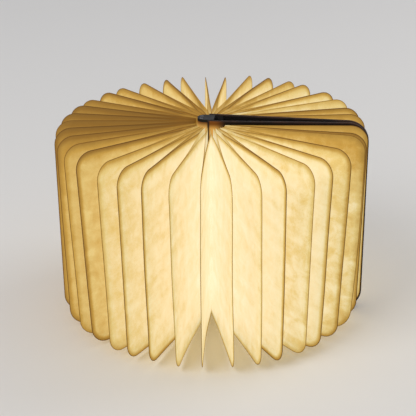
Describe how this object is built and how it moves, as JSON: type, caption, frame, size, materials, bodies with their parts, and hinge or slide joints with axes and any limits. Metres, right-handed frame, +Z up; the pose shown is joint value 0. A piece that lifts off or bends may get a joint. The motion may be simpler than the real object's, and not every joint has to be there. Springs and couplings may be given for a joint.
{
  "type": "folding book lamp",
  "caption": "Book-shaped lamp that stands upright and opens through a full circle: two leather covers turn back to back and a pleated paper fan spreads round a light bar in the spine.",
  "frame": {"origin": "bottom of the light bar, midway between the two cover hinges, on the surface that the lamp stands on", "axes": "+Z up along the spine, +X from the spine to the fore-edges of the two covers that lie back to back"},
  "size_m": [0.3254, 0.333, 0.215],
  "materials": {
    "bar_plastic": "fine moulded grain",
    "leather": "dark brown grained leather, low sheen",
    "paper": "fibrous synthetic paper, uncoated",
    "grey_board": "plain bookbinder's board",
    "lens": "frosted, lit from behind",
    "lamp_board": "white solder mask",
    "battery_wrap": "foil pouch",
    "circuit_board": "green solder mask",
    "socket_steel": "tinned",
    "screw_steel": "black oxide",
    "magnet": "nickel plated"
  },
  "bodies": {
    "spine": {"spine_housing": "bar_plastic", "spine_back_plate": "leather", "top_end_cap": "bar_plastic", "bottom_end_cap": "bar_plastic", "end_cap_screws": "screw_steel", "led_strips": "lamp_board", "light_lenses": "lens", "battery": "battery_wrap", "control_board": "circuit_board", "charging_socket": "socket_steel", "front_hinge_strip": "leather", "back_hinge_strip": "leather", "front_inner_folds": "paper", "back_inner_folds": "paper"},
    "front_cover": {"front_cover_board": "grey_board", "front_cover_leather": "leather", "front_endsheet": "paper", "front_cover_magnets": "magnet"},
    "front_leaf_01": {"front_leaf_01": "paper"},
    "front_leaf_02": {"front_leaf_02": "paper"},
    "front_leaf_03": {"front_leaf_03": "paper"},
    "front_leaf_04": {"front_leaf_04": "paper"},
    "front_leaf_05": {"front_leaf_05": "paper"},
    "front_leaf_06": {"front_leaf_06": "paper"},
    "front_leaf_07": {"front_leaf_07": "paper"},
    "front_leaf_08": {"front_leaf_08": "paper"},
    "front_leaf_09": {"front_leaf_09": "paper"},
    "front_leaf_10": {"front_leaf_10": "paper"},
    "front_leaf_11": {"front_leaf_11": "paper"},
    "front_leaf_12": {"front_leaf_12": "paper"},
    "front_leaf_13": {"front_leaf_13": "paper"},
    "front_leaf_14": {"front_leaf_14": "paper"},
    "front_leaf_15": {"front_leaf_15": "paper"},
    "front_leaf_16": {"front_leaf_16": "paper"},
    "front_leaf_17": {"front_leaf_17": "paper"},
    "front_leaf_18": {"front_leaf_18": "paper"},
    "front_leaf_19": {"front_leaf_19": "paper"},
    "back_cover": {"back_cover_board": "grey_board", "back_cover_leather": "leather", "back_endsheet": "paper", "back_cover_magnets": "magnet"},
    "back_leaf_01": {"back_leaf_01": "paper"},
    "back_leaf_02": {"back_leaf_02": "paper"},
    "back_leaf_03": {"back_leaf_03": "paper"},
    "back_leaf_04": {"back_leaf_04": "paper"},
    "back_leaf_05": {"back_leaf_05": "paper"},
    "back_leaf_06": {"back_leaf_06": "paper"},
    "back_leaf_07": {"back_leaf_07": "paper"},
    "back_leaf_08": {"back_leaf_08": "paper"},
    "back_leaf_09": {"back_leaf_09": "paper"},
    "back_leaf_10": {"back_leaf_10": "paper"},
    "back_leaf_11": {"back_leaf_11": "paper"},
    "back_leaf_12": {"back_leaf_12": "paper"},
    "back_leaf_13": {"back_leaf_13": "paper"},
    "back_leaf_14": {"back_leaf_14": "paper"},
    "back_leaf_15": {"back_leaf_15": "paper"},
    "back_leaf_16": {"back_leaf_16": "paper"},
    "back_leaf_17": {"back_leaf_17": "paper"},
    "back_leaf_18": {"back_leaf_18": "paper"},
    "back_leaf_19": {"back_leaf_19": "paper"}
  },
  "joints": [
    {"name": "front_cover_swing", "type": "hinge", "parent": "spine", "child": "front_cover", "pos_m": [0, -0.0105, 0], "axis": [0, 0, -1], "range_deg": [0, 182.91], "deforming": ["front_hinge_strip", "front_inner_folds"]},
    {"name": "front_leaf_01_turn", "type": "hinge", "parent": "spine", "child": "front_leaf_01", "pos_m": [0.00091, -0.00025, 0], "axis": [0, 0, -1], "range_deg": [0, 4.74]},
    {"name": "front_leaf_02_turn", "type": "hinge", "parent": "spine", "child": "front_leaf_02", "pos_m": [0.00091, -0.00076, 0], "axis": [0, 0, -1], "range_deg": [0, 14.21]},
    {"name": "front_leaf_03_turn", "type": "hinge", "parent": "spine", "child": "front_leaf_03", "pos_m": [0.0009, -0.00126, 0], "axis": [0, 0, -1], "range_deg": [0, 23.68]},
    {"name": "front_leaf_04_turn", "type": "hinge", "parent": "spine", "child": "front_leaf_04", "pos_m": [0.00088, -0.00177, 0], "axis": [0, 0, -1], "range_deg": [0, 33.16]},
    {"name": "front_leaf_05_turn", "type": "hinge", "parent": "spine", "child": "front_leaf_05", "pos_m": [0.00087, -0.00227, 0], "axis": [0, 0, -1], "range_deg": [0, 42.63]},
    {"name": "front_leaf_06_turn", "type": "hinge", "parent": "spine", "child": "front_leaf_06", "pos_m": [0.00085, -0.00278, 0], "axis": [0, 0, -1], "range_deg": [0, 52.11]},
    {"name": "front_leaf_07_turn", "type": "hinge", "parent": "spine", "child": "front_leaf_07", "pos_m": [0.00082, -0.00328, 0], "axis": [0, 0, -1], "range_deg": [0, 61.58]},
    {"name": "front_leaf_08_turn", "type": "hinge", "parent": "spine", "child": "front_leaf_08", "pos_m": [0.00079, -0.00379, 0], "axis": [0, 0, -1], "range_deg": [0, 71.05]},
    {"name": "front_leaf_09_turn", "type": "hinge", "parent": "spine", "child": "front_leaf_09", "pos_m": [0.00076, -0.00429, 0], "axis": [0, 0, -1], "range_deg": [0, 80.53]},
    {"name": "front_leaf_10_turn", "type": "hinge", "parent": "spine", "child": "front_leaf_10", "pos_m": [0.00071, -0.0048, 0], "axis": [0, 0, -1], "range_deg": [0, 90]},
    {"name": "front_leaf_11_turn", "type": "hinge", "parent": "spine", "child": "front_leaf_11", "pos_m": [0.00067, -0.00531, 0], "axis": [0, 0, -1], "range_deg": [0, 99.47]},
    {"name": "front_leaf_12_turn", "type": "hinge", "parent": "spine", "child": "front_leaf_12", "pos_m": [0.00062, -0.00581, 0], "axis": [0, 0, -1], "range_deg": [0, 108.95]},
    {"name": "front_leaf_13_turn", "type": "hinge", "parent": "spine", "child": "front_leaf_13", "pos_m": [0.00056, -0.00632, 0], "axis": [0, 0, -1], "range_deg": [0, 118.42]},
    {"name": "front_leaf_14_turn", "type": "hinge", "parent": "spine", "child": "front_leaf_14", "pos_m": [0.0005, -0.00682, 0], "axis": [0, 0, -1], "range_deg": [0, 127.89]},
    {"name": "front_leaf_15_turn", "type": "hinge", "parent": "spine", "child": "front_leaf_15", "pos_m": [0.00043, -0.00733, 0], "axis": [0, 0, -1], "range_deg": [0, 137.37]},
    {"name": "front_leaf_16_turn", "type": "hinge", "parent": "spine", "child": "front_leaf_16", "pos_m": [0.00035, -0.00783, 0], "axis": [0, 0, -1], "range_deg": [0, 146.84]},
    {"name": "front_leaf_17_turn", "type": "hinge", "parent": "spine", "child": "front_leaf_17", "pos_m": [0.00026, -0.00834, 0], "axis": [0, 0, -1], "range_deg": [0, 156.32]},
    {"name": "front_leaf_18_turn", "type": "hinge", "parent": "spine", "child": "front_leaf_18", "pos_m": [0.00016, -0.00884, 0], "axis": [0, 0, -1], "range_deg": [0, 165.79]},
    {"name": "front_leaf_19_turn", "type": "hinge", "parent": "spine", "child": "front_leaf_19", "pos_m": [0.00006, -0.00935, 0], "axis": [0, 0, -1], "range_deg": [0, 175.26]},
    {"name": "back_cover_swing", "type": "hinge", "parent": "spine", "child": "back_cover", "pos_m": [0, 0.0105, 0], "axis": [0, 0, 1], "range_deg": [0, 182.91], "deforming": ["back_hinge_strip", "back_inner_folds"]},
    {"name": "back_leaf_01_turn", "type": "hinge", "parent": "spine", "child": "back_leaf_01", "pos_m": [0.00091, 0.00025, 0], "axis": [0, 0, 1], "range_deg": [0, 4.74]},
    {"name": "back_leaf_02_turn", "type": "hinge", "parent": "spine", "child": "back_leaf_02", "pos_m": [0.00091, 0.00076, 0], "axis": [0, 0, 1], "range_deg": [0, 14.21]},
    {"name": "back_leaf_03_turn", "type": "hinge", "parent": "spine", "child": "back_leaf_03", "pos_m": [0.0009, 0.00126, 0], "axis": [0, 0, 1], "range_deg": [0, 23.68]},
    {"name": "back_leaf_04_turn", "type": "hinge", "parent": "spine", "child": "back_leaf_04", "pos_m": [0.00088, 0.00177, 0], "axis": [0, 0, 1], "range_deg": [0, 33.16]},
    {"name": "back_leaf_05_turn", "type": "hinge", "parent": "spine", "child": "back_leaf_05", "pos_m": [0.00087, 0.00227, 0], "axis": [0, 0, 1], "range_deg": [0, 42.63]},
    {"name": "back_leaf_06_turn", "type": "hinge", "parent": "spine", "child": "back_leaf_06", "pos_m": [0.00085, 0.00278, 0], "axis": [0, 0, 1], "range_deg": [0, 52.11]},
    {"name": "back_leaf_07_turn", "type": "hinge", "parent": "spine", "child": "back_leaf_07", "pos_m": [0.00082, 0.00328, 0], "axis": [0, 0, 1], "range_deg": [0, 61.58]},
    {"name": "back_leaf_08_turn", "type": "hinge", "parent": "spine", "child": "back_leaf_08", "pos_m": [0.00079, 0.00379, 0], "axis": [0, 0, 1], "range_deg": [0, 71.05]},
    {"name": "back_leaf_09_turn", "type": "hinge", "parent": "spine", "child": "back_leaf_09", "pos_m": [0.00076, 0.00429, 0], "axis": [0, 0, 1], "range_deg": [0, 80.53]},
    {"name": "back_leaf_10_turn", "type": "hinge", "parent": "spine", "child": "back_leaf_10", "pos_m": [0.00071, 0.0048, 0], "axis": [0, 0, 1], "range_deg": [0, 90]},
    {"name": "back_leaf_11_turn", "type": "hinge", "parent": "spine", "child": "back_leaf_11", "pos_m": [0.00067, 0.00531, 0], "axis": [0, 0, 1], "range_deg": [0, 99.47]},
    {"name": "back_leaf_12_turn", "type": "hinge", "parent": "spine", "child": "back_leaf_12", "pos_m": [0.00062, 0.00581, 0], "axis": [0, 0, 1], "range_deg": [0, 108.95]},
    {"name": "back_leaf_13_turn", "type": "hinge", "parent": "spine", "child": "back_leaf_13", "pos_m": [0.00056, 0.00632, 0], "axis": [0, 0, 1], "range_deg": [0, 118.42]},
    {"name": "back_leaf_14_turn", "type": "hinge", "parent": "spine", "child": "back_leaf_14", "pos_m": [0.0005, 0.00682, 0], "axis": [0, 0, 1], "range_deg": [0, 127.89]},
    {"name": "back_leaf_15_turn", "type": "hinge", "parent": "spine", "child": "back_leaf_15", "pos_m": [0.00043, 0.00733, 0], "axis": [0, 0, 1], "range_deg": [0, 137.37]},
    {"name": "back_leaf_16_turn", "type": "hinge", "parent": "spine", "child": "back_leaf_16", "pos_m": [0.00035, 0.00783, 0], "axis": [0, 0, 1], "range_deg": [0, 146.84]},
    {"name": "back_leaf_17_turn", "type": "hinge", "parent": "spine", "child": "back_leaf_17", "pos_m": [0.00026, 0.00834, 0], "axis": [0, 0, 1], "range_deg": [0, 156.32]},
    {"name": "back_leaf_18_turn", "type": "hinge", "parent": "spine", "child": "back_leaf_18", "pos_m": [0.00016, 0.00884, 0], "axis": [0, 0, 1], "range_deg": [0, 165.79]},
    {"name": "back_leaf_19_turn", "type": "hinge", "parent": "spine", "child": "back_leaf_19", "pos_m": [0.00006, 0.00935, 0], "axis": [0, 0, 1], "range_deg": [0, 175.26]}
  ],
  "couplings": [
    {"joint": "front_leaf_01_turn", "follows": "front_cover_swing", "ratio": 0.025897},
    {"joint": "front_leaf_02_turn", "follows": "front_cover_swing", "ratio": 0.077691},
    {"joint": "front_leaf_03_turn", "follows": "front_cover_swing", "ratio": 0.12949},
    {"joint": "front_leaf_04_turn", "follows": "front_cover_swing", "ratio": 0.18128},
    {"joint": "front_leaf_05_turn", "follows": "front_cover_swing", "ratio": 0.23307},
    {"joint": "front_leaf_06_turn", "follows": "front_cover_swing", "ratio": 0.28487},
    {"joint": "front_leaf_07_turn", "follows": "front_cover_swing", "ratio": 0.33666},
    {"joint": "front_leaf_08_turn", "follows": "front_cover_swing", "ratio": 0.38846},
    {"joint": "front_leaf_09_turn", "follows": "front_cover_swing", "ratio": 0.44025},
    {"joint": "front_leaf_10_turn", "follows": "front_cover_swing", "ratio": 0.49204},
    {"joint": "front_leaf_11_turn", "follows": "front_cover_swing", "ratio": 0.54384},
    {"joint": "front_leaf_12_turn", "follows": "front_cover_swing", "ratio": 0.59563},
    {"joint": "front_leaf_13_turn", "follows": "front_cover_swing", "ratio": 0.64743},
    {"joint": "front_leaf_14_turn", "follows": "front_cover_swing", "ratio": 0.69922},
    {"joint": "front_leaf_15_turn", "follows": "front_cover_swing", "ratio": 0.75101},
    {"joint": "front_leaf_16_turn", "follows": "front_cover_swing", "ratio": 0.80281},
    {"joint": "front_leaf_17_turn", "follows": "front_cover_swing", "ratio": 0.8546},
    {"joint": "front_leaf_18_turn", "follows": "front_cover_swing", "ratio": 0.9064},
    {"joint": "front_leaf_19_turn", "follows": "front_cover_swing", "ratio": 0.95819},
    {"joint": "back_leaf_01_turn", "follows": "back_cover_swing", "ratio": 0.025897},
    {"joint": "back_leaf_02_turn", "follows": "back_cover_swing", "ratio": 0.077691},
    {"joint": "back_leaf_03_turn", "follows": "back_cover_swing", "ratio": 0.12949},
    {"joint": "back_leaf_04_turn", "follows": "back_cover_swing", "ratio": 0.18128},
    {"joint": "back_leaf_05_turn", "follows": "back_cover_swing", "ratio": 0.23307},
    {"joint": "back_leaf_06_turn", "follows": "back_cover_swing", "ratio": 0.28487},
    {"joint": "back_leaf_07_turn", "follows": "back_cover_swing", "ratio": 0.33666},
    {"joint": "back_leaf_08_turn", "follows": "back_cover_swing", "ratio": 0.38846},
    {"joint": "back_leaf_09_turn", "follows": "back_cover_swing", "ratio": 0.44025},
    {"joint": "back_leaf_10_turn", "follows": "back_cover_swing", "ratio": 0.49204},
    {"joint": "back_leaf_11_turn", "follows": "back_cover_swing", "ratio": 0.54384},
    {"joint": "back_leaf_12_turn", "follows": "back_cover_swing", "ratio": 0.59563},
    {"joint": "back_leaf_13_turn", "follows": "back_cover_swing", "ratio": 0.64743},
    {"joint": "back_leaf_14_turn", "follows": "back_cover_swing", "ratio": 0.69922},
    {"joint": "back_leaf_15_turn", "follows": "back_cover_swing", "ratio": 0.75101},
    {"joint": "back_leaf_16_turn", "follows": "back_cover_swing", "ratio": 0.80281},
    {"joint": "back_leaf_17_turn", "follows": "back_cover_swing", "ratio": 0.8546},
    {"joint": "back_leaf_18_turn", "follows": "back_cover_swing", "ratio": 0.9064},
    {"joint": "back_leaf_19_turn", "follows": "back_cover_swing", "ratio": 0.95819}
  ]
}
